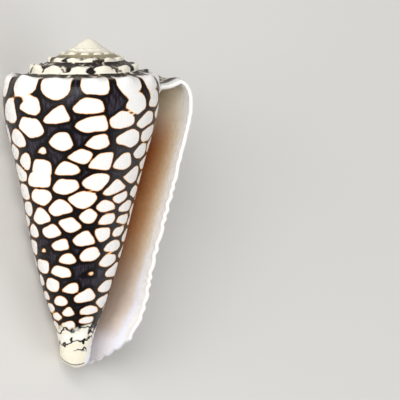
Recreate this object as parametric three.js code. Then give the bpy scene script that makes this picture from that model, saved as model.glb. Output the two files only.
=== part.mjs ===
// A cone shell, lying on its back with the long aperture upwards.
// Millimetres and degrees. The shell is first built upright on its coiling axis, apex at the top,
// and then turned to lie as it comes to rest on a flat surface.
import * as THREE from "three";

// Driving dimensions
const shellLength = 80; // apex to the tip of the columella
const lipShoulderRadius = 24.4; // from the coiling axis to the shoulder at the outer lip
const turnGrowth = 1.44; // each turn is this many times as wide as the turn before it
const turns = 5.5; // turns that can be told apart on the spire
const restPitch = 13.3; // slope of the coiling axis, the spire's end being the higher
const restRoll = 44.1; // turn about the coiling axis from aperture straight up, lip upwards

// Side outline half a turn before the lip: [height above the tip, distance from the axis]
const sideOutline = [
  [0, 3.7],
  [0.6, 4.4],
  [2.4, 5],
  [5.6, 5.4],
  [9.4, 6.4],
  [16.5, 9],
  [28.7, 12.5],
  [41, 15.3],
  [50, 17.4],
  [58, 19.5],
  [63, 20.4],
  [67, 20.5],
];
const outlineTurn = -180;

// How far the lip stands off the spiral: [height above the tip, distance]
const lipFlare = [
  [0, 1.4],
  [6, 2.1],
  [12, 3],
  [17, 2.6],
  [26, 1.5],
  [46, 1.5],
  [56, 1],
  [66, 0.9],
];

// Spire and shoulder
const spireSlope = 0.45; // drop of the shoulder line for each millimetre outwards
const flatterBeyond = 18; // radius at which the shoulder line starts to flatten
const flattening = 0.036;
const stepFactor = 0.0099; // height of a whorl's step over the next suture, for a radius squared
const shoulderInset = 0.08; // share of the radius over which the shoulder rounds off
const lipShoulderInset = 1.2; // more of it at the lip, whose upper corner is rounder
const rampHollow = 0.07; // depth of the hollow ramp, as a share of its width
const rampEnd = 0.62; // share of the way from suture to suture where the shoulder starts
const knobSpacing = 28.8; // degrees between two shoulder knobs
const knobHeight = 0.045; // as a share of the shoulder radius
const knobPlace = 0.74; // share of the way from suture to suture
const knobSpread = 0.18;

// Wall, lip and aperture
const wallThickness = 2.2;
const lipThickness = 0.9;
const thickensOver = 7; // distance from the edge over which the wall thickens
const roofThickness = 2; // under the ramp, at the narrow upper end of the aperture
const flareTurn = 75; // degrees behind the lip where it starts to flare and the siphonal cut begins
const siphonalLift = 6.6; // height of the lip's lower corner over the tip
const cornerRecess = 12; // degrees by which the lip draws back towards that corner
const recessFrom = 16; // height over the tip below which it does
const columellaRadius = 1.2;
const columellaCut = 1.6; // height of the slanting end of the columella, on the aperture's side
const columellaCutAt = -370; // its growth angle, and how far it spreads
const columellaCutSpread = 55;
const tipRounding = 0.35;
const tipPlace = [-1.6, -0.4, 0];
const hollowTurn = 342; // how far the cavity is modelled behind the lip
const narrowEndTurn = 234; // how far its narrow lower end reaches, beside the columella

// Mesh
const columns = 40; // in one turn
const rampSteps = [0.3, rampEnd, 0.76, 0.9]; // between one suture and the next
const sideRows = 15;
const floorRow = 11; // side row of the cavity's floor, further back than its narrow end

const { degToRad, lerp, smoothstep } = THREE.MathUtils;
const smoothMax = (a, b, blend) => (a + b + Math.hypot(a - b, blend)) / 2;
const bell = (x, middle, spread) => Math.exp(-(((x - middle) / spread) ** 2));

// Growth angle: 0 at the lip, negative further back in the shell's life.
const widening = (growth) => turnGrowth ** (growth / 360);
const shoulderRadius = (growth) => lipShoulderRadius * widening(growth);

function shoulderHeight(growth) {
  const radius = shoulderRadius(growth);
  const beyond = Math.max(0, radius - flatterBeyond);
  return shellLength - spireSlope * radius + flattening * beyond ** 2;
}

// Height of the next turn's suture on this turn.
const sutureHeight = (growth) =>
  shoulderHeight(growth) - stepFactor * shoulderRadius(growth) ** 2;

// A smooth curve through [height, value] pairs, as a function of the height.
function smoothCurve(pairs) {
  const curve = new THREE.CatmullRomCurve3(
    pairs.map(([height, value]) => new THREE.Vector3(value, 0, height)),
    false,
    "centripetal",
  );
  const samples = curve.getPoints(240);
  return (height) => {
    const next = samples.findIndex((p) => p.z > height);
    if (next === -1) return samples[samples.length - 1].x;
    if (next === 0) return samples[0].x;
    const [low, high] = [samples[next - 1], samples[next]];
    return lerp(low.x, high.x, (height - low.z) / (high.z - low.z));
  };
}
const outlineRadius = smoothCurve(sideOutline);
const flareAt = smoothCurve(lipFlare);
const nearLip = (growth) => Math.max(0, 1 + growth / flareTurn);

// Distance of the shell's side from the axis.
function sideRadius(growth, height) {
  const sameHeight =
    (height * shoulderHeight(outlineTurn)) / shoulderHeight(growth);
  const spiral =
    outlineRadius(sameHeight) +
    shoulderRadius(growth) -
    shoulderRadius(outlineTurn);
  const flare = flareAt(height) * nearLip(growth) ** 2;
  return smoothMax(spiral, columellaRadius, 0.8) + flare;
}

// Lower edge of the wall: it climbs to the lip at the siphonal cut, and where the columella ends.
const lowerEdge = (growth) =>
  siphonalLift * nearLip(growth) ** 1.7 +
  columellaCut * bell(growth, columellaCutAt, columellaCutSpread) +
  tipRounding * smoothstep(-growth, 120, 230);

// The lip draws back towards its lower corner.
function recess(growth, height) {
  const below = Math.max(0, 1 - height / recessFrom);
  return cornerRecess * below ** 2 * nearLip(growth);
}

// One turn's upper surface in its half-plane: from the suture (0) across the hollow ramp
// and over the knobbed shoulder to the next suture (1).
function shoulderPoint(growth, share) {
  const before = growth - 360;
  const suture = new THREE.Vector2(
    sideRadius(before, sutureHeight(before)),
    sutureHeight(before),
  );
  const nextSuture = new THREE.Vector2(
    sideRadius(growth, sutureHeight(growth)),
    sutureHeight(growth),
  );
  const radius = shoulderRadius(growth);
  const crest = new THREE.Vector2(
    nextSuture.x - shoulderInset * radius - lipShoulderInset * nearLip(growth),
    shoulderHeight(growth),
  );
  const point = new THREE.Vector2();
  if (share < rampEnd) {
    const along = share / rampEnd;
    point.lerpVectors(suture, crest, along);
    point.y -=
      rampHollow * (crest.x - suture.x) * Math.sin(Math.PI * along) ** 1.5;
  } else {
    const turn = (((share - rampEnd) / (1 - rampEnd)) * Math.PI) / 2;
    point.set(
      lerp(crest.x, nextSuture.x, Math.sin(turn)),
      lerp(nextSuture.y, crest.y, Math.cos(turn)),
    );
  }
  const fade = 1 - nearLip(growth) ** 3; // the last knob before the lip is weak
  const wave =
    0.5 + 0.5 * Math.cos((2 * Math.PI * (growth + 360)) / knobSpacing);
  const knob =
    knobHeight *
    fade *
    radius *
    (wave ** 1.5 - 0.3) *
    bell(share, knobPlace, knobSpread);
  point.x += 0.6 * knob;
  point.y += 0.8 * knob;
  return point;
}

// Points of one outer profile, from its suture over the shoulder and down the side.
function profile(growth, withSide) {
  const points = [0, ...rampSteps, 1].map((s) => shoulderPoint(growth, s));
  if (!withSide) return points;
  const top = sutureHeight(growth) - roofThickness;
  const bottom = lowerEdge(growth);
  for (let row = 0; row <= sideRows; row++) {
    const height = lerp(top, bottom, (row / sideRows) ** 0.92);
    points.push(new THREE.Vector2(sideRadius(growth, height), height));
  }
  return points;
}

// The same profile moved inwards by the wall's thickness.
function innerProfile(growth, outer) {
  const fromLip = (degToRad(-growth) * shoulderRadius(growth)) / thickensOver;
  return outer.map((point, index) => {
    const before = outer[Math.max(index - 1, 0)];
    const after = outer[Math.min(index + 1, outer.length - 1)];
    const along = after.clone().sub(before).normalize();
    const fromBottom = (point.y - lowerEdge(growth)) / thickensOver;
    const grown = (1 - Math.exp(-fromLip)) * (1 - Math.exp(-fromBottom));
    const thickness = lerp(lipThickness, wallThickness, grown);
    return new THREE.Vector2(
      point.x + along.y * thickness,
      point.y - along.x * thickness,
    );
  });
}

const toSpace = (point, growth) => {
  const angle = degToRad(recess(growth, point.y) - growth);
  return [point.x * Math.cos(angle), point.x * Math.sin(angle), point.y];
};

function shellGeometry() {
  const positions = [];
  const faces = [];
  const addVertex = (xyz) => positions.push(xyz) - 1;
  const addQuad = (a, b, c, d) => faces.push([a, b, c], [a, c, d]);

  const lipColumn = Math.round(turns * columns);
  const growthAt = (column) => ((column - lipColumn) * 360) / columns;
  const oneTurnBack = lipColumn - columns;
  const cavityEnd = lipColumn - Math.round((hollowTurn / 360) * columns);
  const narrowEnd = lipColumn - Math.round((narrowEndTurn / 360) * columns);
  const coreStart = cavityEnd - columns;
  const columellaStart = narrowEnd - columns;
  const suture = rampSteps.length + 1; // row of the next turn's suture
  const roof = suture + 1; // row where the cavity's roof meets this turn
  const floor = roof + floorRow;
  const last = roof + sideRows;

  // Outer skin. Each turn starts on the suture row of the turn before.
  const outer = [];
  const inner = [];
  for (let column = 0; column <= lipColumn; column++) {
    const growth = growthAt(column);
    const points = profile(growth, column >= coreStart);
    const outerEnd = column < columellaStart ? floor : last;
    outer[column] = points
      .slice(0, outerEnd + 1)
      .map((point, row) =>
        row === 0 && column >= columns
          ? outer[column - columns][suture]
          : addVertex(toSpace(point, growth)),
      );
    const innerEnd = column < narrowEnd ? floor : last;
    if (column >= cavityEnd)
      inner[column] = innerProfile(growth, points)
        .slice(0, innerEnd + 1)
        .map((point, row) =>
          row === 0
            ? outer[column - columns][roof]
            : addVertex(toSpace(point, growth)),
        );
  }
  for (let column = 0; column < lipColumn; column++) {
    const [here, next] = [outer[column], outer[column + 1]];
    for (let row = 0; row < suture; row++)
      addQuad(here[row], next[row], next[row + 1], here[row + 1]);
    if (column >= oneTurnBack)
      addQuad(here[suture], next[suture], next[roof], here[roof]);
    if (column >= coreStart)
      for (let row = roof; row < here.length - 1; row++)
        addQuad(here[row], next[row], next[row + 1], here[row + 1]);
  }

  // Inner side of the wall. Its lower side is the wall's edge at the siphonal end,
  // and further back the cavity's floor.
  for (let column = cavityEnd; column < lipColumn; column++) {
    const [here, next] = [inner[column], inner[column + 1]];
    const end = here.length - 1;
    for (let row = 0; row < end; row++)
      addQuad(here[row], here[row + 1], next[row + 1], next[row]);
    const across = column < narrowEnd ? column - columns : column;
    addQuad(outer[across][end], outer[across + 1][end], next[end], here[end]);
  }

  // Edge of the lip.
  for (let row = 0; row < last; row++)
    addQuad(
      outer[lipColumn][row],
      inner[lipColumn][row],
      inner[lipColumn][row + 1],
      outer[lipColumn][row + 1],
    );

  // Blind ends of the cavity and of its narrow lower end, from the wall across to the columella.
  const addBlindEnd = (column, from, to) => {
    const [wall, core] = [inner[column], outer[column - columns]];
    for (let row = from; row < to; row++)
      addQuad(core[row], core[row + 1], wall[row + 1], wall[row]);
  };
  const deepest = inner[cavityEnd];
  for (let row = 1; row < roof; row++)
    faces.push([deepest[0], deepest[row + 1], deepest[row]]);
  addBlindEnd(cavityEnd, roof, floor);
  addBlindEnd(narrowEnd, floor, last);

  // Tip of the columella.
  const tip = addVertex(tipPlace);
  const rim = [];
  for (let column = columellaStart; column <= narrowEnd; column++)
    rim.push(outer[column][last]);
  rim.push(inner[narrowEnd][last]);
  rim.forEach((index, i) =>
    faces.push([tip, index, rim[(i + 1) % rim.length]]),
  );

  // Worn apex.
  const apex = addVertex([0, 0, shellLength]);
  const firstTurn = [];
  for (let column = 0; column <= columns; column++)
    firstTurn.push(outer[column][0]);
  for (let row = suture - 1; row > 0; row--) firstTurn.push(outer[0][row]);
  firstTurn.forEach((index, i) =>
    faces.push([apex, firstTurn[(i + 1) % firstTurn.length], index]),
  );

  const geometry = new THREE.BufferGeometry();
  geometry.setAttribute(
    "position",
    new THREE.Float32BufferAttribute(positions.flat(), 3),
  );
  geometry.setIndex(faces.flat());
  geometry.computeVertexNormals();
  return geometry;
}

const shell = new THREE.Mesh(
  shellGeometry(),
  new THREE.MeshStandardMaterial({
    color: 0xe9e2d2,
    roughness: 0.3,
    metalness: 0,
  }),
);
shell.name = "shell";
shell.rotation.set(degToRad(restPitch - 90), 0, degToRad(-restRoll));

const part = new THREE.Group();
part.add(shell);

// The origin is under the middle of the shell, on the surface that it lies on.
const box = new THREE.Box3().setFromObject(part, true);
const middle = box.getCenter(new THREE.Vector3());
shell.position.set(-middle.x, -middle.y, -box.min.z);

export default part;
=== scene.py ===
import math

import bpy
import numpy as np
from mathutils import Matrix, Vector


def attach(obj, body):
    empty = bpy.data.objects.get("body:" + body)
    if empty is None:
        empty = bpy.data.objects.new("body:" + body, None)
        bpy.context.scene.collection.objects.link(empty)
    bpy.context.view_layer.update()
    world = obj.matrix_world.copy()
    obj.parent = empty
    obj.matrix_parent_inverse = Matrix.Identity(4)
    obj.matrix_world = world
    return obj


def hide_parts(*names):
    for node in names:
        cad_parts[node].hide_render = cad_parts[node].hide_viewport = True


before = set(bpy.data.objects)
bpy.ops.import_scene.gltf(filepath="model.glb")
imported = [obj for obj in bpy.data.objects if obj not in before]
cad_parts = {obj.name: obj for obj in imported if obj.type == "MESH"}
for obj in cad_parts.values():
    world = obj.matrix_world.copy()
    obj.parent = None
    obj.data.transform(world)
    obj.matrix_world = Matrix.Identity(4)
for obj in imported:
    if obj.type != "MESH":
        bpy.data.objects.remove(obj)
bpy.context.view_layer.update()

# A marbled cone shell, lying on its back. Its sizes are in millimetres and degrees, measured
# on the upright shell, with the coiling axis as Z and the tip at 0. Blender's units are metres.
millimetre = 0.001

coneShell = {
    "seed": 11,
    # the pose it rests in
    "restPitch": 13.3,  # slope of the coiling axis
    "restRoll": 44.1,  # turn about that axis, the lip going up
    # the coil
    "length": 80,
    "turns": 5.5,
    "turnGrowth": 1.44,  # each turn is this many times as wide as the one before
    "lipShoulderRadius": 24.4,
    "sideOutline": [  # height over the tip, distance from the axis, half a turn before the lip
        (0, 3.7), (0.6, 4.4), (2.4, 5), (5.6, 5.4), (9.4, 6.4), (16.5, 9),
        (28.7, 12.5), (41, 15.3), (50, 17.4), (58, 19.5), (63, 20.4), (67, 20.5),
    ],
    "outlineGrowth": -180,
    "columellaRadius": 1.2,
    "columellaBlend": 0.8,
    # the spire
    "spireSlope": 0.45,
    "flatterBeyond": 18,  # radius from which the spire flattens
    "flattening": 0.036,
    "apexDrop": 0.6,  # how far the turns lie below a straight cone from the apex
    "apexDropStarts": 2,
    "apexDropEnds": (19, 23),
    "stepFactor": 0.0099,  # drop from the shoulder to the suture, for its radius squared
    "shoulderInset": 0.08,
    "lipShoulderInset": 1.2,
    "rampHollow": 0.07,
    "rampEnd": 0.62,
    "knobSpacing": 28.8,
    "knobHeight": 0.06,
    "knobPlace": 0.74,
    "knobSpread": 0.18,
    "knobLean": (0.6, 0.8),  # they stand outwards and up
    "knobPointed": 1.5,
    "knobSink": 0.3,  # the hollows between them
    "knobVariation": 0.3,  # worn knobs differ in height by up to this share
    # the wall and the lip
    "wallThickness": 2.2,
    "lipThickness": 0.9,
    "thickensOver": 7,
    "roofThickness": 2,
    "hollowTurn": 230,  # how far the space goes back behind the lip
    "flareTurn": 75,  # and how far back the lip starts to flare
    "lipFlare": [  # height over the tip, how far the lip stands off the spiral
        (0, 1.4), (6, 2.1), (12, 3), (17, 2.6), (26, 1.5), (46, 1.5), (56, 1), (66, 0.9),
    ],
    "cornerRecess": 12,  # degrees
    "recessFrom": 16,
    "scallopSpacing": 3.1,  # little notches along the lip
    "scallopDepth": 0.42,
    "scallopReach": 1.6,  # how far back from the edge they fade out
    "scallopHeights": (6, 10),  # they begin between these heights
    "scallopsWeaker": (40, 56),
    "scallopWander": [(0.9, 0.31, 0), (0.6, 0.83, 1)],  # size, pace and start of two waves
    # the narrow end
    "siphonalLift": 6.6,  # the lip's lower corner stands this high over the tip
    "siphonalCurve": 1.7,
    "lowerScallopTurn": 17,  # degrees between the notches of the lower edge
    "lowerScallopDepth": 0.546,
    "lowerScallopGrowths": (-85, -60),
    "columellaCut": 2.5,  # the lower edge rises this much beside the aperture
    "columellaCutAt": -365,
    "columellaCutSpread": 72,
    "tipCorner": 1.7,  # and this much on the other side, so that the tip looks rounded
    "tipCornerAt": -170,
    "tipCornerSpread": 42,
    "tipRounding": 0.05,
    "tipRoundingGrowths": (-120, -230),
    "tipPlace": (-2, -0.5, 0),
    "ridgeHeight": 0.07,  # weak spiral ridges
    "ridgeSpacing": 1.5,
    "ridgeHeights": (9, 26),  # they fade out between these heights
    # the mesh
    "columns": 288,  # in one turn
    "rampShares": [0, 0.07, 0.16, 0.27, 0.39, 0.51, 0.62, 0.69, 0.76, 0.84, 0.92, 1],
    "sideRows": 112,
    "rowSpacing": 0.92,
    "apexRings": [0.8, 0.6, 0.4, 0.2],
    "apexDome": 1.4,
    "tipRings": [0.75, 0.5, 0.25],
    "tipDome": 2.2,
    "lipEdgeSteps": [0.15, 0.5, 0.85],  # the rounded edge of the lip
    "lipEdgeBulge": 0.4,
    # the white patches of the last turn
    "patches": 250,
    "patchWide": 8.1,  # room for one at the top, and what it loses towards the tip
    "patchWideLoss": (3.2, 1.4),
    "patchHigh": 5.15,
    "patchHighLoss": (1.9, 1.5),
    "patchTopAt": -4,  # mm down the side
    "patchSpan": 72,
    "sideSlant": 1.03,  # the side slopes, so it is a little longer than it is high
    "sideHeights": (1, 75),
    "patchGrowths": (-392, 14),
    "patchSideLength": 71,
    "patchRowOnKnobs": -1.8,  # the first row sits on the knobs, just above the side
    "knobPatchShift": 2.5,
    "patchEvenings": 7,  # rounds that spread the patches evenly
    "patchEveningPoints": 5000,
    "patchEveningStep": 0.8,
    "patchSizes": (0.82, 1.35),  # shares of its room
    "patchHalves": (0.5, 0.76),  # how far it goes up and down from its middle
    "patchLow": [(-0.72, 0), (0.08, -1), (0.45, -0.85)],  # corners, as shares of that
    "patchTop": [(0.44, 0.85), (0.1, 1)],
    "knobPatchSizes": (1, 1.4),
    "knobPatchLow": [(-0.44, 0.05), (-0.12, -0.8), (0.38, -0.35)],
    "knobPatchTop": [(0.38, 0.55), (0.05, 1), (-0.3, 0.7)],
    "knobPatchRise": 1.9,
    "tinyPatchShare": 0.05,
    "tinyPatchSize": 0.4,
    "patchLean": 14,
    "patchLeanSpread": 12,
    "patchReach": (1.25, 1.5),
    "patchOutermost": -2,  # mm outside, as far as the fields go
    "patchNeighbours": 10,
    "patchGap": 0.5,  # dark line between neighbours
    "patchCornerBlend": 0.3,
    "patchLayers": 4,  # stored as patchA to patchD, which the material reads
    "patchCrowd": 12,  # neighbours that stay out of a patch's layer
    "stackedWithin": 0.35,
    "mergeChance": 0.05,  # of two stacked patches, and more often around one growth angle
    "mergeMore": 0.13,
    "mergeMoreAt": -90,
    "mergeMoreSpread": 60,
    # the worn spire's pale blotches, one on each knob
    "blotchRadius": 22,  # the sizes here shrink with the turns
    "blotchWide": 0.37,  # of the space between two knobs
    "blotchWideLeast": 0.1,
    "blotchHigh": 2.5,
    "blotchHighLeast": 0.3,
    "blotchDrop": 1.6,
    "blotchSlant": 0.5,
    "seamWide": 0.25,  # the pale line along the suture
    "seamEdge": 2.6,
    "spireFrom": (5.4, 6.4),  # mm above the side, on the last turn
    "apexRadius": 9.5,
    "apexFade": 5,
    # the dark net between the patches
    "patchWobble": 0.9,
    "patchRim": (-0.3, 0.5),  # from dark to white, in mm from the patch's edge
    # violet-grey in the middle of the wider dark areas, partly the shell's own tint and partly
    # painted sheen of a glossy reflection
    "violetAndSheenFrom": (-0.5, -1.2),
    "netShades": (0.93, 1),
    # the pale glaze of the inside, of the wall facing it and of the edges
    "glazeBehind": 366,  # degrees behind the lip
    "glazeSooner": 92,  # it begins this much sooner at the tip
    "glazeSoonerBelow": 17,
    "glazeFade": 6,
    "lipEdge": (-2.4, -1.2),
    "upperCorner": (-17, -9),
    "upperCornerAbove": (3.4, 4.4),  # mm above the side
    "lowerRim": (-90, -80),
    "lowerRimAbove": (1.1, 0.5),  # mm above the lower edge
    "wallDepth": 5,
    "wallDepthHeights": (10, 30),
    # where the material changes, in height over the tip
    "lowWobble": 8,
    "mottledBelow": (10.5, 9),
    "creamBelow": (5.2, 4.2),
    "insideHeights": (14, 36),  # pinkish under these heights, orange over them
    "lilacBelow": (11, 5),
    # paler towards the top of the inside, partly its own pale tint and partly painted light where
    # the upper inside lies in shade
    "paleAbove": (52, 66),
    # deeper in, the inside's colours darken, partly as painted shade of the cavity
    "insideDepth": 19,  # the deepest colours of the inside
    # the finish
    "grain": {"coarse": 260, "wear": 420, "fine": 900},
    "roughness": (0.22, 0.34),
    "wornRoughness": 0.188,  # more on the spire
    "shine": {"Coat Weight": 0.06, "Coat Roughness": 0.15, "Specular IOR Level": 0.17, "IOR": 1.5},
    "relief": {"Strength": 0.35, "Distance": 0.00022},
    # 0 to 255, as seen on a screen
    "colours": {
        "dark": (8, 5, 7),
        "rust": (120, 50, 20),
        "orange": (255, 200, 130),
        "patch": (250, 248, 245),
        # partly the dark areas' own tint, partly painted sheen
        "violetAndSheen": (66, 58, 70),
        "slate": (96, 100, 112),
        "cream": (243, 236, 216),
        "wornDark": (24, 18, 17),
        "wornGrey": (104, 90, 78),
        "spireCream": (244, 238, 221),
        "olive": (158, 148, 118),
        # the inside's colours, from the edge inwards; the darker ones further in are partly
        # painted shade of the cavity
        "lipWhite": (252, 250, 246),
        "lipCream": (238, 220, 192),
        "tan": (216, 170, 122),
        "shadedOrange": (186, 112, 62),
        # paler top of the inside, partly painted light
        "litBeige": (244, 236, 214),
        "lilac": (240, 240, 250),
        "lipWarm": (222, 208, 196),
        "shadedPinkGrey": (190, 170, 154),
    },
}


def smoothMax(a, b, blend):
    return (a + b + np.hypot(a - b, blend)) / 2


def bell(x, middle, spread):
    return np.exp(-(((x - middle) / spread) ** 2))


def smoothStep(x, low, high):
    t = np.clip((x - low) / (high - low), 0, 1)
    return t * t * (3 - 2 * t)


def smoothCurve(pairs, samples=240):
    # a centripetal curve through (height, value) pairs, as a function of the height
    points = np.array(pairs, float)
    points = np.vstack([2 * points[0] - points[1], points, 2 * points[-1] - points[-2]])
    spans = np.sum(np.diff(points, axis=0) ** 2, axis=1) ** 0.25
    found = []
    for place in np.linspace(0, len(pairs) - 1, samples + 1):
        i = min(int(place), len(pairs) - 2)
        t = place - i
        p0, p1, p2, p3 = points[i : i + 4]
        d0, d1, d2 = spans[i : i + 3]
        slope1 = ((p1 - p0) / d0 - (p2 - p0) / (d0 + d1) + (p2 - p1) / d1) * d1
        slope2 = ((p2 - p1) / d1 - (p3 - p1) / (d1 + d2) + (p3 - p2) / d2) * d1
        bend = -3 * p1 + 3 * p2 - 2 * slope1 - slope2
        twist = 2 * p1 - 2 * p2 + slope1 + slope2
        found.append(p1 + slope1 * t + bend * t**2 + twist * t**3)
    found = np.array(found)
    return lambda height: np.interp(height, found[:, 0], found[:, 1])


outlineRadius = smoothCurve(coneShell["sideOutline"])
flareAt = smoothCurve(coneShell["lipFlare"])


# Growth is an angle: 0 at the lip, negative further back in the shell's life.
def shoulderRadius(growth):
    return coneShell["lipShoulderRadius"] * coneShell["turnGrowth"] ** (growth / 360)


def shoulderHeight(growth):
    radius = shoulderRadius(growth)
    beyond = np.maximum(0, radius - coneShell["flatterBeyond"])
    flatter = coneShell["flattening"] * beyond**2
    sunk = coneShell["apexDrop"] * (1 - np.exp(-radius / coneShell["apexDropStarts"]))
    sunk = sunk * (1 - smoothStep(radius, *coneShell["apexDropEnds"]))
    return coneShell["length"] - coneShell["spireSlope"] * radius + flatter - sunk


def sutureHeight(growth):
    return shoulderHeight(growth) - coneShell["stepFactor"] * shoulderRadius(growth) ** 2


def nearLip(growth):
    return np.maximum(0, 1 + growth / coneShell["flareTurn"])


def sideRadius(growth, height):
    known = coneShell["outlineGrowth"]
    spiral = outlineRadius(height * shoulderHeight(known) / shoulderHeight(growth))
    spiral = spiral + shoulderRadius(growth) - shoulderRadius(known)
    flare = flareAt(height) * nearLip(growth) ** 2
    return smoothMax(spiral, coneShell["columellaRadius"], coneShell["columellaBlend"]) + flare


def lowerEdge(growth):
    # height of the side's lower end over the tip
    cut = bell(growth, coneShell["columellaCutAt"], coneShell["columellaCutSpread"])
    corner = bell(growth, coneShell["tipCornerAt"], coneShell["tipCornerSpread"])
    rounding = coneShell["tipRounding"] * smoothStep(growth, *coneShell["tipRoundingGrowths"])
    rounding = rounding + coneShell["tipCorner"] * corner
    lift = coneShell["siphonalLift"] * nearLip(growth) ** coneShell["siphonalCurve"]
    notch = np.abs(np.cos(math.pi * (growth / coneShell["lowerScallopTurn"] + 0.5))) ** 3
    where = smoothStep(growth, *coneShell["lowerScallopGrowths"])
    lift = lift + coneShell["lowerScallopDepth"] * notch * where
    return lift + coneShell["columellaCut"] * cut + rounding


def recess(growth, height):
    # degrees by which the lip's lower corner stays behind its upper part
    below = np.maximum(0, 1 - height / coneShell["recessFrom"])
    return coneShell["cornerRecess"] * below**2 * nearLip(growth)


def knobSizes(growth):
    # one random size for each knob, the same every run
    sizes = np.random.default_rng(coneShell["seed"]).uniform(-1, 1, 200)
    number = np.round((growth + 360) / coneShell["knobSpacing"]).astype(int)
    return 1 + coneShell["knobVariation"] * sizes[number % len(sizes)]


def shoulderPoints(growth, share):
    # radius and height across the ramp and the shoulder, from one suture (0) to the next (1)
    before = growth - 360
    sutureX, sutureY = sideRadius(before, sutureHeight(before)), sutureHeight(before)
    nextX, nextY = sideRadius(growth, sutureHeight(growth)), sutureHeight(growth)
    radius = shoulderRadius(growth)
    inset = coneShell["shoulderInset"] * radius + coneShell["lipShoulderInset"] * nearLip(growth)
    crestX, crestY = nextX - inset, shoulderHeight(growth)
    rampEnd = coneShell["rampEnd"]
    along = np.clip(share / rampEnd, 0, 1)
    hollow = coneShell["rampHollow"] * (crestX - sutureX) * np.sin(math.pi * along) ** 1.5
    rampX = sutureX + (crestX - sutureX) * along
    rampY = sutureY + (crestY - sutureY) * along - hollow
    turn = np.clip((share - rampEnd) / (1 - rampEnd), 0, 1) * math.pi / 2
    roundX = crestX + (nextX - crestX) * np.sin(turn)
    roundY = nextY + (crestY - nextY) * np.cos(turn)
    x = np.where(share < rampEnd, rampX, roundX)
    y = np.where(share < rampEnd, rampY, roundY)
    wave = 0.5 + 0.5 * np.cos(2 * math.pi * (growth + 360) / coneShell["knobSpacing"])
    knob = coneShell["knobHeight"] * (1 - nearLip(growth) ** 3) * radius
    knob = knob * (wave ** coneShell["knobPointed"] * knobSizes(growth) - coneShell["knobSink"])
    knob = knob * bell(share, coneShell["knobPlace"], coneShell["knobSpread"])
    outwards, up = coneShell["knobLean"]
    return x + outwards * knob, y + up * knob


def profileLengths(x, y, fromRow):
    # length along each profile, measured from one row, positive downwards
    steps = np.hypot(np.diff(x, axis=1), np.diff(y, axis=1))
    lengths = np.concatenate([np.zeros((len(x), 1)), np.cumsum(steps, axis=1)], axis=1)
    return lengths - lengths[:, fromRow : fromRow + 1]


def scalloped(growth, x, y):
    # the lip's margin has small notches, fainter towards the shoulder
    waves = coneShell["scallopWander"]
    wander = sum(size * np.sin(y * pace + start) for size, pace, start in waves)
    notch = np.abs(np.cos(math.pi * (y + wander) / coneShell["scallopSpacing"])) ** 3
    fromEdge = np.radians(-growth) * shoulderRadius(growth)
    fade = np.exp(-fromEdge / coneShell["scallopReach"])
    weaker = 0.75 * smoothStep(y, *coneShell["scallopsWeaker"])
    where = smoothStep(y, *coneShell["scallopHeights"]) * (1 - weaker)
    return x - coneShell["scallopDepth"] * notch * fade * where


def ridged(growth, x, y):
    # weak spiral ridges close to the narrow end
    ridges = np.cos(2 * math.pi * y / coneShell["ridgeSpacing"])
    fade = 1 - smoothStep(y, *coneShell["ridgeHeights"])
    return x + coneShell["ridgeHeight"] * ridges * fade


def upright(x, y, growth):
    # points of the standing shell, from a profile's distances from the axis and heights
    angle = np.radians(recess(growth, y) - growth)
    return np.stack([x * np.cos(angle), x * np.sin(angle), y], -1)


def innerSide(growth, x, y):
    # the outer profiles moved inwards by the wall's thickness
    radius = shoulderRadius(growth)
    fromLip = np.radians(-growth) * radius / coneShell["thickensOver"]
    fromBottom = (y - lowerEdge(growth)) / coneShell["thickensOver"]
    grown = (1 - np.exp(-fromLip)) * (1 - np.exp(-fromBottom))
    thickness = coneShell["lipThickness"] * (1 - grown) + coneShell["wallThickness"] * grown
    alongX, alongY = np.gradient(x, axis=1), np.gradient(y, axis=1)
    size = np.hypot(alongX, alongY)
    return x + alongY / size * thickness, y - alongX / size * thickness


def gridQuads(points, records, flip=False):
    # the quads between neighbouring columns and rows, where both grids have all four corners
    def corners(grid):
        around = [grid[:-1, :-1], grid[1:, :-1], grid[1:, 1:], grid[:-1, 1:]]
        return np.stack(around, -1).reshape(-1, 4)

    quads, numbers = corners(points), corners(records)
    whole = (quads >= 0).all(1)
    quads, numbers = quads[whole], numbers[whole]
    return (quads[:, ::-1], numbers[:, ::-1]) if flip else (quads, numbers)


def shellGrids():
    # profiles of the outer skin and of the wall's inner side, column by column
    perTurn, sideRows = coneShell["columns"], coneShell["sideRows"]
    shares = np.array(coneShell["rampShares"], float)
    lip = round(coneShell["turns"] * perTurn)
    growth = ((np.arange(lip + 1) - lip) * 360 / perTurn)[:, None]
    cavityEnd = lip - round(coneShell["hollowTurn"] / 360 * perTurn)
    columellaStart = cavityEnd - perTurn
    suture = len(shares) - 1
    roof = suture + 1
    last = roof + sideRows
    x, y = np.full((2, lip + 1, last + 1), np.nan)
    x[:, :roof], y[:, :roof] = shoulderPoints(growth, shares[None])
    late = growth[columellaStart:]
    rows = (np.arange(sideRows + 1) / sideRows) ** coneShell["rowSpacing"]
    top = sutureHeight(late) - coneShell["roofThickness"]
    y[columellaStart:, roof:] = top + (lowerEdge(late) - top) * rows
    x[columellaStart:, roof:] = sideRadius(late, y[columellaStart:, roof:])
    x = scalloped(growth, x, y)
    innerX, innerY = innerSide(growth[cavityEnd:], x[cavityEnd:], y[cavityEnd:])
    x[columellaStart:, roof:] = ridged(late, x[columellaStart:, roof:], y[columellaStart:, roof:])
    length = profileLengths(x, y, suture)
    length[:, :roof] = profileLengths(x[:, :roof], y[:, :roof], suture)
    rowsAt = {"suture": suture, "roof": roof, "last": last}
    columnsAt = {"lip": lip, "cavityEnd": cavityEnd, "columellaStart": columellaStart}
    return growth, (x, y, length), (innerX, innerY), rowsAt, columnsAt


tipGrowth = -500  # marks the faces that close the tip


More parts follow.
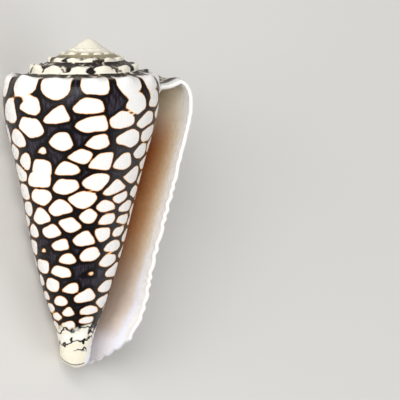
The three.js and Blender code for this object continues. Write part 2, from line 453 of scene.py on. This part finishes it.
def shellFaces(growth, outerProfiles, innerProfiles, rowsAt, columnsAt):
    # one closed skin: each turn starts on the suture of the turn before
    perTurn = coneShell["columns"]
    suture, roof, last = rowsAt["suture"], rowsAt["roof"], rowsAt["last"]
    lip, cavityEnd = columnsAt["lip"], columnsAt["cavityEnd"]
    columellaStart = columnsAt["columellaStart"]
    x, y, length = outerProfiles
    innerX, innerY = innerProfiles

    own = ~np.isnan(x)
    own[perTurn:, 0] = False
    outer = np.where(own, np.cumsum(own).reshape(own.shape) - 1, -1)
    outer[perTurn:, 0] = outer[:-perTurn, suture]
    points = [upright(x, y, growth)[own]]
    count = int(own.sum())
    innerOwn = np.ones(innerX.shape, bool)
    innerOwn[:, 0] = False
    inner = np.where(innerOwn, np.cumsum(innerOwn).reshape(innerOwn.shape) - 1 + count, -1)
    inner[:, 0] = outer[columellaStart : lip + 1 - perTurn, roof]
    innerGrowth = growth[cavityEnd:]
    points.append(upright(innerX, innerY, innerGrowth)[innerOwn])
    count += int(innerOwn.sum())

    records = {
        "growth": [np.broadcast_to(growth, x.shape).ravel()],
        "height": [y.ravel()],
        "radius": [x.ravel()],
        "length": [length.ravel()],
        "inner": [np.zeros(x.size)],
    }
    outerRecords = np.arange(x.size).reshape(x.shape)
    innerRecords = x.size + np.arange(innerX.size).reshape(innerX.shape)
    recordCount = x.size + innerX.size

    def note(numbers, **values):
        for key, value in values.items():
            records[key].append(np.broadcast_to(np.asarray(value, float), (numbers,)))

    note(innerX.size, growth=np.broadcast_to(innerGrowth, innerX.shape).ravel())
    note(innerX.size, height=innerY.ravel(), radius=innerX.ravel(), inner=1)
    note(innerX.size, length=length[cavityEnd:].ravel())

    lastTurn = slice(lip - perTurn, None)
    parts = [
        gridQuads(outer[:, :roof], outerRecords[:, :roof]),
        gridQuads(outer[lastTurn, suture : roof + 1], outerRecords[lastTurn, suture : roof + 1]),
        gridQuads(outer[columellaStart:, roof:], outerRecords[columellaStart:, roof:]),
        gridQuads(inner, innerRecords, flip=True),
    ]
    bottomPoints = np.stack([outer[cavityEnd:, last], inner[:, last]], 1)
    bottomRecords = np.stack([outerRecords[cavityEnd:, last], innerRecords[:, last]], 1)
    parts.append(gridQuads(bottomPoints, bottomRecords))
    wallPoints = np.stack([outer[columellaStart], inner[0]])[:, roof:]
    wallRecords = np.stack([outerRecords[columellaStart], innerRecords[0]])[:, roof:]
    parts.append(gridQuads(wallPoints, wallRecords, flip=True))

    # the lip's edge is rounded over a few steps
    a = upright(x[lip], y[lip], 0.0)
    b = upright(innerX[-1], innerY[-1], 0.0)
    angle = np.radians(recess(0.0, y[lip]))
    ahead = np.stack([np.sin(angle), -np.cos(angle), 0 * angle], -1)
    edge, edgeRecords = [outer[lip]], [outerRecords[lip]]
    for step in coneShell["lipEdgeSteps"]:
        middle = a + (b - a) * (1 - math.cos(math.pi * step)) / 2
        bulge = coneShell["lipEdgeBulge"] * math.sin(math.pi * step)
        points.append(middle + ahead * bulge)
        edge.append(count + np.arange(last + 1))
        edgeRecords.append(recordCount + np.arange(last + 1))
        count += last + 1
        recordCount += last + 1
        note(last + 1, growth=0, height=y[lip], radius=x[lip], length=length[lip], inner=step)
    edge.append(inner[-1])
    edgeRecords.append(innerRecords[-1])
    parts.append(gridQuads(np.stack(edge), np.stack(edgeRecords)))

    triangles = [], []

    def addTriangle(corners, numbers):
        triangles[0].append(corners)
        triangles[1].append(numbers)

    # close the ends of the lip's edge, and the blind end of the cavity
    for row, turned in ((0, False), (last, True)):
        fan = [line[row] for line in edge]
        numbers = [line[row] for line in edgeRecords]
        for i in range(1, len(fan) - 1):
            order = (0, i, i + 1) if turned else (0, i + 1, i)
            addTriangle([fan[k] for k in order], [numbers[k] for k in order])
    for row in range(1, roof):
        addTriangle(inner[0][[0, row + 1, row]], innerRecords[0][[0, row + 1, row]])

    def loop(here, there):
        # two rings side by side, each closed on its first corner
        return np.stack([np.append(here, here[0]), np.append(there, there[0])], 1)

    def allPoints():
        return np.concatenate(points)

    def addDome(rim, rimRecords, middle, rings, power, flip, **place):
        # rings between a rim and its middle point, rounded like a dome
        nonlocal count, recordCount
        rimPoints = allPoints()[rim]
        middle = np.array(middle, float)
        before, beforeRecords = rim, rimRecords
        for ring in rings:
            level = rimPoints[:, 2] + (middle[2] - rimPoints[:, 2]) * (1 - ring**power)
            flat = middle[:2] + (rimPoints[:, :2] - middle[:2]) * ring
            points.append(np.column_stack([flat, level]))
            here = count + np.arange(len(rim))
            hereRecords = recordCount + np.arange(len(rim))
            note(len(rim), radius=np.hypot(*flat.T), height=level, inner=0, **place)
            count += len(rim)
            recordCount += len(rim)
            grids = loop(before, here), loop(beforeRecords, hereRecords)
            parts.append(gridQuads(*grids, flip=flip))
            before, beforeRecords = here, hereRecords
        points.append(middle[None])
        note(1, radius=0, height=middle[2], inner=0, **place)
        for i in range(len(rim)):
            j = (i + 1) % len(rim)
            pair = [j, i] if flip else [i, j]
            addTriangle([count, *before[pair]], [recordCount, *beforeRecords[pair]])
        count += 1
        recordCount += 1

    end = slice(columellaStart, cavityEnd + 1)
    rim = np.append(outer[end, last], inner[0, last])
    rimRecords = np.append(outerRecords[end, last], innerRecords[0, last])
    addDome(rim, rimRecords, coneShell["tipPlace"], coneShell["tipRings"],
            coneShell["tipDome"], False, growth=tipGrowth, length=np.nanmax(length))
    start, across = slice(perTurn + 1), slice(suture - 1, 0, -1)
    rim = np.append(outer[start, 0], outer[0, across])
    rimRecords = np.append(outerRecords[start, 0], outerRecords[0, across])
    addDome(rim, rimRecords, (0, 0, coneShell["length"]), coneShell["apexRings"],
            coneShell["apexDome"], True, growth=growth[0, 0], length=-1)

    quads = np.concatenate([p for p, _ in parts])
    quadRecords = np.concatenate([r for _, r in parts])
    gathered = {key: np.concatenate(value) for key, value in records.items()}
    return allPoints(), quads, quadRecords, triangles, gathered


def layDown(points):
    # the shell turned and moved as it rests on the floor
    pitch = Matrix.Rotation(math.radians(coneShell["restPitch"] - 90), 3, "X")
    turned = pitch @ Matrix.Rotation(math.radians(-coneShell["restRoll"]), 3, "Z")
    laid = points @ np.array(turned).T
    low, high = laid.min(0), laid.max(0)
    shift = np.array([-(low[0] + high[0]) / 2, -(low[1] + high[1]) / 2, -low[2]])
    return laid + shift, turned, Vector(shift)


def sideSpots():
    # centres of the white patches of the last turn: growth, and length down the side in mm
    random = np.random.default_rng(coneShell["seed"])

    def sample(count):
        growth = random.uniform(*coneShell["patchGrowths"], count * 6)
        length = random.uniform(0.5, coneShell["patchSideLength"], count * 6)
        wide, high = patchPitch(length)
        density = radiusOnSide(growth, length) / (wide * high)
        kept = random.uniform(0, density.max(), count * 6) < density
        return np.stack([growth, length], 1)[kept][:count]

    spots = sample(coneShell["patches"])
    knobsAt = -360 + coneShell["knobSpacing"] * np.arange(-1, 14)
    shift = coneShell["knobPatchShift"]
    knobsAt = knobsAt + random.uniform(-shift, shift, len(knobsAt))
    fixed = np.stack([knobsAt, np.full(len(knobsAt), coneShell["patchRowOnKnobs"])], 1)
    for _ in range(coneShell["patchEvenings"]):
        # each patch moves towards the middle of the points nearest to it
        points = sample(coneShell["patchEveningPoints"])
        nearest = patchDistances(points, np.vstack([fixed, spots])).argmin(1) - len(fixed)
        for i in range(len(spots)):
            if (nearest == i).any():
                middle = points[nearest == i].mean(0)
                spots[i] += coneShell["patchEveningStep"] * (middle - spots[i])
    return np.vstack([fixed, spots]), len(fixed), random


def patchPitch(length):
    # room for one patch, along the growth and down the side
    down = (length - coneShell["patchTopAt"]) / coneShell["patchSpan"]
    loss, endLoss = coneShell["patchWideLoss"]
    wide = coneShell["patchWide"] - loss * down - endLoss * down**4
    loss, endLoss = coneShell["patchHighLoss"]
    high = coneShell["patchHigh"] - loss * down - endLoss * down**4
    return wide, high


def radiusOnSide(growth, length):
    height = sutureHeight(growth) - length / coneShell["sideSlant"]
    return sideRadius(growth, np.clip(height, *coneShell["sideHeights"]))


def patchDistances(points, spots):
    # from every point to every spot, as shares of the room for one patch
    wide, high = patchPitch(points[:, 1:])
    radius = radiusOnSide(points[:, :1], points[:, 1:])
    across = np.radians(points[:, :1] - spots[:, 0]) * radius / wide
    down = (points[:, 1:] - spots[:, 1]) / high
    return np.hypot(across, down)


def halfPlane(x, y, start, end):
    # signed distance to the line from start to end, positive on its left
    dx, dy = end[0] - start[0], end[1] - start[1]
    return (dx * (y - start[1]) - dy * (x - start[0])) / math.hypot(dx, dy)


def patchFields(growth, length, radius, onSide):
    # distance inside (+) or outside (-) of the patches, over a few layers so that the
    # dark lines between neighbours stay sharp
    spots, knobs, random = sideSpots()
    outermost = float(coneShell["patchOutermost"])
    layers = np.full((coneShell["patchLayers"], len(growth)), outermost)
    layerOf = np.full(len(spots), -1)
    wide, high = patchPitch(spots[:, 1])
    spotRadius = radiusOnSide(spots[:, 0], np.maximum(spots[:, 1], 0))
    across = -np.radians(spots[:, None, 0] - spots[None, :, 0]) * spotRadius[:, None]
    down = -(spots[:, None, 1] - spots[None, :, 1])
    apart = np.hypot(across / wide[:, None], down / high[:, None])
    sizes = random.uniform(*coneShell["patchSizes"], len(spots))
    tiny = random.uniform(size=len(spots)) < coneShell["tinyPatchShare"]
    sizes[tiny] = coneShell["tinyPatchSize"]
    sizes[:knobs] = random.uniform(*coneShell["knobPatchSizes"], knobs)
    spread = coneShell["patchLeanSpread"]
    leans = np.radians(random.uniform(-spread, spread, len(spots)) + coneShell["patchLean"])
    halves = random.uniform(*coneShell["patchHalves"], (len(spots), 2))
    chances = random.uniform(size=(len(spots), len(spots)))
    more = bell(spots[:, 0], coneShell["mergeMoreAt"], coneShell["mergeMoreSpread"])
    merging = coneShell["mergeChance"] + coneShell["mergeMore"] * more
    blend, gap = coneShell["patchCornerBlend"], coneShell["patchGap"]
    aside, beyond = coneShell["patchReach"]
    for i in range(len(spots)):
        x = -np.radians(growth - spots[i, 0]) * radius
        y = -(length - spots[i, 1])
        near = onSide & (np.abs(x) < aside * wide[i]) & (np.abs(y) < beyond * high[i])
        x, y = x[near], y[near]
        if not len(x):
            continue
        # straight edges towards the neighbours
        edges = []
        neighbours = np.argsort(apart[i])[1:]
        for j in neighbours[: coneShell["patchNeighbours"]]:
            stacked = abs(across[i, j]) < coneShell["stackedWithin"] * wide[i]
            stacked = stacked and min(i, j) >= knobs
            if stacked and chances[min(i, j), max(i, j)] < merging[i]:
                continue
            toX, toY = -across[i, j] / wide[i], -down[i, j] / high[i]
            slopeX, slopeY = toX / wide[i], toY / high[i]
            middle = (toX**2 + toY**2) / 2
            towards = toX * x / wide[i] + toY * y / high[i]
            edges.append((middle - towards) / math.hypot(slopeX, slopeY) - gap / 2)
        # and its own corners, leaning a little
        turnedX = x * math.cos(leans[i]) + y * math.sin(leans[i])
        turnedY = -x * math.sin(leans[i]) + y * math.cos(leans[i])
        w, h = wide[i] * sizes[i], high[i] * sizes[i]
        up, low = halves[i] * h
        lowCorners, topCorners = coneShell["patchLow"], coneShell["patchTop"]
        if i < knobs:
            up, low = up * coneShell["knobPatchRise"], h
            lowCorners, topCorners = coneShell["knobPatchLow"], coneShell["knobPatchTop"]
        corners = [(a * w, b * low) for a, b in lowCorners]
        corners += [(a * w, b * up) for a, b in topCorners]
        for start, end in zip(corners, corners[1:] + corners[:1]):
            edges.append(halfPlane(turnedX, turnedY, start, end))
        field = -blend * np.log(np.exp(-np.array(edges) / blend).sum(0))
        # it goes into the first layer that none of its neighbours is in
        near = np.flatnonzero(near)
        crowded = set(layerOf[neighbours[: coneShell["patchCrowd"]]])
        free = [k for k in range(len(layers)) if k not in crowded] or [i % len(layers)]
        layerOf[i] = free[0]
        field = np.maximum(field, outermost)
        layers[free[0], near] = np.maximum(layers[free[0], near], field)
    return layers


def makeShell():
    points, quads, quadNumbers, triangles, at = shellFaces(*shellGrids())
    laid, turned, shift = layDown(points)
    mesh = bpy.data.meshes.new("shell")
    faces = quads.tolist() + [list(triangle) for triangle in triangles[0]]
    mesh.from_pydata(laid * millimetre, [], faces)
    mesh.update()
    mesh.shade_smooth()
    piece = bpy.data.objects.new("coneShell", mesh)
    bpy.context.scene.collection.objects.link(piece)
    print("shell: skin built,", len(mesh.polygons), "faces")

    corners = np.concatenate([quadNumbers.ravel(), np.array(triangles[1]).ravel()])
    markings(mesh, corners, at)
    print("shell: markings laid out")
    return piece, turned, shift


def markings(mesh, corners, at):
    # what the material reads, stored on the face corners
    growth, length, radius, height = at["growth"], at["length"], at["radius"], at["height"]
    # the spire is what lies above the suture, more than a turn behind the lip
    outside = at["inner"] == 0
    onSpire = (growth < -360.01) & (length <= 0.01) & outside
    onSpire |= (growth < -361) & (height > sutureHeight(growth) - 1.5) & outside
    onSide = (at["inner"] < 0.3) & ~onSpire & (growth > -400)
    layers = patchFields(growth, length, radius, onSide)

    # the spire's pale blotches, one on each knob, in mm from their edges
    spacing = coneShell["knobSpacing"]
    fromKnob = (growth + 360) / spacing - np.round((growth + 360) / spacing)
    arc = np.radians(spacing) * np.maximum(radius, 1)
    scale = radius / coneShell["blotchRadius"]
    sizes, least = knobSizes(growth), coneShell["blotchWideLeast"]
    wide = coneShell["blotchWide"] * (least + (1 - least) * sizes)
    high = coneShell["blotchHigh"] * scale + coneShell["blotchHighLeast"]
    aside = fromKnob + coneShell["blotchSlant"] * (sizes - 1) * (length + 2 * scale)
    below = length + coneShell["blotchDrop"] * scale
    knob = wide * arc * (1 - np.hypot(aside / wide, below / high))
    seam = coneShell["seamEdge"] * (length + 0.02 + coneShell["seamWide"] * scale)
    knob = np.maximum(knob, np.where(length < 0.01, seam, -9))

    # 1 on the inside, on the wall facing it under the roof, and on the edges
    under = (growth < -265) & (length > 0.5) & ~onSpire
    behind = coneShell["glazeBehind"]
    sooner = coneShell["glazeSooner"] * np.clip(1 - height / coneShell["glazeSoonerBelow"], 0, 1)
    glaze = smoothStep(-growth - (behind - sooner), 0, coneShell["glazeFade"])
    inside = np.maximum(at["inner"], np.where(under, glaze, 0))
    inside = np.maximum(inside, smoothStep(growth, *coneShell["lipEdge"]))
    above = smoothStep(-length, *coneShell["upperCornerAbove"])
    inside = np.maximum(inside, smoothStep(growth, *coneShell["upperCorner"]) * above)
    aboveEdge = height - lowerEdge(growth)
    above = smoothStep(aboveEdge, *coneShell["lowerRimAbove"])
    inside = np.maximum(inside, smoothStep(growth, *coneShell["lowerRim"]) * above)

    # how deep inside, in mm, which darkens the inside's colours partly as painted shade of the
    # cavity
    innerDepth = np.radians(np.maximum(0, -growth)) * radius
    wallDepth = np.radians(np.maximum(0, -growth - behind)) * radius
    wallDepth += coneShell["wallDepth"] * smoothStep(height, *coneShell["wallDepthHeights"])
    depth = np.where(at["inner"] > 0, innerDepth, np.where(growth > -30, 0, wallDepth))

    values = {f"patch{letter}": layer for letter, layer in zip("ABCD", layers)}
    values.update(knob=knob, height=height, inside=inside, depth=depth)
    lastRamp = smoothStep(-length, *coneShell["spireFrom"])
    values["spire"] = np.where(onSide & (growth < -3), lastRamp, onSpire)
    apex = (coneShell["apexRadius"] - radius) / coneShell["apexFade"]
    values["apex"] = np.clip(apex, 0, 1) * onSpire
    values["tipLine"] = np.where((growth < -150) & (growth > tipGrowth), aboveEdge, -1)
    for name, value in values.items():
        attribute = mesh.attributes.new(name, "FLOAT", "CORNER")
        attribute.data.foreach_set("value", value[corners].astype(np.float32))
    # ten units to the radian along the growth, and millimetres down the profile
    place = np.stack([np.radians(growth) * 10, length, 0 * length], 1)[corners]
    attribute = mesh.attributes.new("growthPlace", "FLOAT_VECTOR", "CORNER")
    attribute.data.foreach_set("vector", place.astype(np.float32).ravel())


def linear(colour):
    # a colour given as 0 to 255, as seen on a screen
    def one(value):
        value /= 255
        return value / 12.92 if value <= 0.04045 else ((value + 0.055) / 1.055) ** 2.4

    return (*map(one, colour), 1)


def shellMaterial():
    material = bpy.data.materials.new("cone shell")
    material.use_nodes = True
    nodes, links = material.node_tree.nodes, material.node_tree.links
    surface = nodes["Principled BSDF"]
    colours, grain = coneShell["colours"], coneShell["grain"]

    def feed(socket, value):
        # a socket, a number or the name of a colour
        if isinstance(value, bpy.types.NodeSocket):
            links.new(value, socket)
        elif value is not None:
            socket.default_value = linear(colours[value]) if value in colours else value

    def read(name):
        found = nodes.new("ShaderNodeAttribute")
        found.attribute_name = name
        return found.outputs["Vector" if name == "growthPlace" else "Fac"]

    def calculate(operation, a, b=None, c=None):
        found = nodes.new("ShaderNodeMath")
        found.operation = operation
        for socket, value in zip(found.inputs, (a, b, c)):
            feed(socket, value)
        return found.outputs[0]

    def wobbling(value, field, amount):
        # the value, moved up and down by up to half the amount
        shift = calculate("MULTIPLY", calculate("SUBTRACT", field, 0.5), amount)
        return calculate("ADD", value, shift)

    def between(value, low, high, start=0.0, end=1.0):
        found = nodes.new("ShaderNodeMapRange")
        found.interpolation_type = "SMOOTHSTEP"
        for name, setting in zip(found.inputs.keys(), (value, low, high, start, end)):
            feed(found.inputs[name], setting)
        return found.outputs[0]

    def ramp(value, stops):
        found = nodes.new("ShaderNodeValToRGB")
        while len(found.color_ramp.elements) < len(stops):
            found.color_ramp.elements.new(0.5)
        for element, (place, colour) in zip(found.color_ramp.elements, stops):
            element.position = place
            element.color = linear(colours[colour])
        feed(found.inputs[0], value)
        return found.outputs[0]

    def blend(share, a, b, how="MIX"):
        found = nodes.new("ShaderNodeMix")
        found.data_type = "RGBA"
        found.blend_type = how
        for number, value in ((0, share), (6, a), (7, b)):
            feed(found.inputs[number], value)
        return found.outputs[2]

    def noise(place, scale, detail=3, stretch=None):
        if stretch:
            mapping = nodes.new("ShaderNodeMapping")
            mapping.inputs["Scale"].default_value = stretch
            feed(mapping.inputs["Vector"], place)
            place = mapping.outputs[0]
        found = nodes.new("ShaderNodeTexNoise")
        found.inputs["Scale"].default_value = scale
        found.inputs["Detail"].default_value = detail
        feed(found.inputs["Vector"], place)
        return found.outputs[0]

    growthPlace = read("growthPlace")
    position = nodes.new("ShaderNodeTexCoord").outputs["Object"]
    coarse = noise(position, grain["coarse"])

    # white patches with a thin rusty rim on brown-black
    patch = calculate("MAXIMUM", read("patchA"), read("patchB"))
    patch = calculate("MAXIMUM", patch, calculate("MAXIMUM", read("patchC"), read("patchD")))
    patch = wobbling(patch, coarse, coneShell["patchWobble"])
    rim = between(patch, *coneShell["patchRim"])
    body = ramp(rim, [(0.22, "dark"), (0.36, "rust"), (0.55, "orange"), (0.8, "patch")])
    # violet-grey streaks in the middle of the wider dark areas: partly the shell's own tint,
    # partly painted sheen of glossy reflections
    lines = between(noise(growthPlace, 1, 3, (3.2, 0.35, 1)), 0.3, 0.7)
    violetAndSheen = calculate("MULTIPLY", between(patch, *coneShell["violetAndSheenFrom"]), lines)
    body = blend(violetAndSheen, body, "violetAndSheen")
    streaks = noise(growthPlace, 1, 2, (6, 0.12, 1))
    shades = between(streaks, 0.25, 0.75, *coneShell["netShades"])
    body = blend(1.0, body, shades, "MULTIPLY")

    # small mottles towards the narrow end
    height = read("height")
    mottles = between(noise(growthPlace, 1, 2, (0.125, 0.27, 1)), 0.3, 0.7)
    mottled = ramp(mottles, [(0, "patch"), (0.3, "cream"), (0.4, "slate"), (0.44, "dark"),
                             (0.56, "dark"), (0.62, "cream")])
    low = wobbling(height, coarse, coneShell["lowWobble"])
    body = blend(between(low, *coneShell["mottledBelow"]), body, mottled)
    body = blend(between(low, *coneShell["creamBelow"]), body, "cream")
    tipLine = wobbling(read("tipLine"), coarse, 0.6)  # a thin line just above the lower edge
    body = blend(calculate("COMPARE", tipLine, 0.7, 0.13), body, "slate")

    # worn spire: cream knobs, dark streaks between them
    wear = noise(position, grain["wear"], 4)
    worn = wobbling(read("knob"), wear, 5)
    streaks = noise(growthPlace, 1, 3, (0.6, 0.35, 1))
    dull = ramp(between(streaks, 0.3, 0.72), [(0.55, "wornDark"), (0.8, "wornGrey"), (1, "cream")])
    apex = read("apex")
    smudges = calculate("MULTIPLY", between(apex, 0.05, 0.5), between(wear, 0.65, 0.35))
    dull = blend(smudges, dull, "olive")
    dull = blend(between(apex, 0.2, 0.6), dull, "olive")
    spire = blend(between(worn, -0.25, 0.25), dull, "spireCream")
    spire = blend(between(apex, 0.6, 1), spire, "spireCream")
    body = blend(read("spire"), body, spire)

    # inside of the lip and the wall facing it: white at the edge, then darker and warmer further
    # in, partly the inside's own tint and partly painted shade of the cavity
    depth, inside = read("depth"), read("inside")
    share = calculate("DIVIDE", wobbling(depth, coarse, 2), coneShell["insideDepth"])
    upper = ramp(share, [(0.12, "lipWhite"), (0.24, "lipCream"), (0.44, "tan"),
                         (0.68, "shadedOrange")])
    lower = ramp(share, [(0.06, "lipWhite"), (0.13, "lilac"), (0.22, "lipWarm"),
                         (0.36, "shadedPinkGrey")])
    within = blend(between(height, *coneShell["insideHeights"]), lower, upper)
    within = blend(between(height, *coneShell["lilacBelow"], 0, 0.6), within, "lilac")
    # paler near the top: partly the inside's own pale tint, partly painted light where the upper
    # inside lies in shade
    pale = ramp(share, [(0.12, "lipWhite"), (0.5, "litBeige")])
    within = blend(between(height, *coneShell["paleAbove"]), within, pale)
    feed(surface.inputs["Base Color"], blend(inside, body, within))

    fine = noise(position, grain["fine"], 4)
    dullness = between(fine, 0.2, 0.8, *coneShell["roughness"])
    dullness = calculate("MULTIPLY_ADD", read("spire"), coneShell["wornRoughness"], dullness)
    feed(surface.inputs["Roughness"], dullness)
    for name, value in coneShell["shine"].items():
        surface.inputs[name].default_value = value

    # growth lines, weak spiral threads and the worn spire's pits
    growthLines = noise(growthPlace, 1, 2, (7, 0.1, 1))
    threads = noise(growthPlace, 1, 2, (0.1, 2.2, 1))
    pits = calculate("MULTIPLY", calculate("MULTIPLY", coarse, read("spire")), 3)
    relief = calculate("MULTIPLY_ADD", threads, 0.6, growthLines)
    relief = calculate("ADD", relief, pits)
    bump = nodes.new("ShaderNodeBump")
    for name, value in coneShell["relief"].items():
        bump.inputs[name].default_value = value
    feed(bump.inputs["Height"], relief)
    feed(surface.inputs["Normal"], bump.outputs[0])
    return material


studio = {
    "floorSize": 6,
    "floorColour": (226, 224, 220),
    "floorRoughness": 0.9,
    "worldColour": (255, 255, 255),
    "worldStrength": 0.36,
    "lights": [  # name, place in metres, size, watts
        ("key", (-0.62, 0.2, 0.62), 0.5, 4.6),
        ("side", (-0.9, 0.1, 0.28), 0.4, 2.5),
        ("fill", (0.5, -0.45, 0.5), 0.7, 2.6),
    ],
    # the camera, placed around the upright shell in degrees and millimetres
    "azimuth": -90,
    "elevation": 5,
    "distance": 900,
    "aimRight": 27.72,  # from the shell's middle
    "aimUp": 1.5,
    "lean": 1.57,
    "lens": 334.5,
    "clipEnd": 20,  # metres
}


def makeFloor():
    bpy.ops.object.select_all(action="DESELECT")
    bpy.ops.mesh.primitive_plane_add(size=studio["floorSize"], location=(0, 0, 0))
    floor = bpy.context.object
    floor.name = "floor"
    material = bpy.data.materials.new("floor")
    material.use_nodes = True
    surface = material.node_tree.nodes["Principled BSDF"]
    surface.inputs["Base Color"].default_value = linear(studio["floorColour"])
    surface.inputs["Roughness"].default_value = studio["floorRoughness"]
    floor.data.materials.append(material)
    return floor


def addLight(name, place, size, watts):
    light = bpy.data.lights.new(name, "AREA")
    light.size = size
    light.energy = watts
    lamp = bpy.data.objects.new(name, light)
    lamp.location = place
    lamp.rotation_euler = (-Vector(place)).to_track_quat("-Z", "Y").to_euler()
    bpy.context.scene.collection.objects.link(lamp)


def makeStudio(turned, shift):
    scene = bpy.context.scene
    world = bpy.data.worlds.new("studio")
    world.use_nodes = True
    background = world.node_tree.nodes["Background"]
    background.inputs["Color"].default_value = linear(studio["worldColour"])
    background.inputs["Strength"].default_value = studio["worldStrength"]
    scene.world = world
    scene.view_settings.view_transform = "Standard"
    for name, place, size, watts in studio["lights"]:
        addLight(name, place, size, watts)

    # the camera keeps the shell upright in the picture, looking down on it
    def laid(point):
        return (turned @ Vector(point) + shift) * millimetre

    azimuth, elevation = (math.radians(studio[key]) for key in ("azimuth", "elevation"))
    flat = math.cos(elevation)
    towards = Vector((flat * math.cos(azimuth), flat * math.sin(azimuth), math.sin(elevation)))
    middle = Vector((0, 0, coneShell["length"] / 2))
    up = (Vector((0, 0, 1)) - towards * towards.z).normalized()
    right = up.cross(towards)
    place = laid(middle + towards * studio["distance"])
    target = laid(middle + right * studio["aimRight"] + up * studio["aimUp"])
    back = (place - target).normalized()
    axis = turned @ Vector((0, 0, 1))
    imageUp = (axis - back * axis.dot(back)).normalized()
    imageUp = Matrix.Rotation(math.radians(studio["lean"]), 3, back) @ imageUp
    imageRight = imageUp.cross(back)
    camera = bpy.data.objects.new("camera", bpy.data.cameras.new("camera"))
    camera.data.lens = studio["lens"]
    camera.data.clip_end = studio["clipEnd"]
    rotation = Matrix((imageRight, imageUp, back)).transposed().to_4x4()
    camera.matrix_world = Matrix.Translation(place) @ rotation
    scene.collection.objects.link(camera)
    scene.camera = camera


shell, shellTurn, shellShift = makeShell()
shell.data.materials.append(shellMaterial())
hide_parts("shell")
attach(shell, "root")
print("shell: material done")
makeFloor()
makeStudio(shellTurn, shellShift)
print("studio: floor, lights and camera placed")
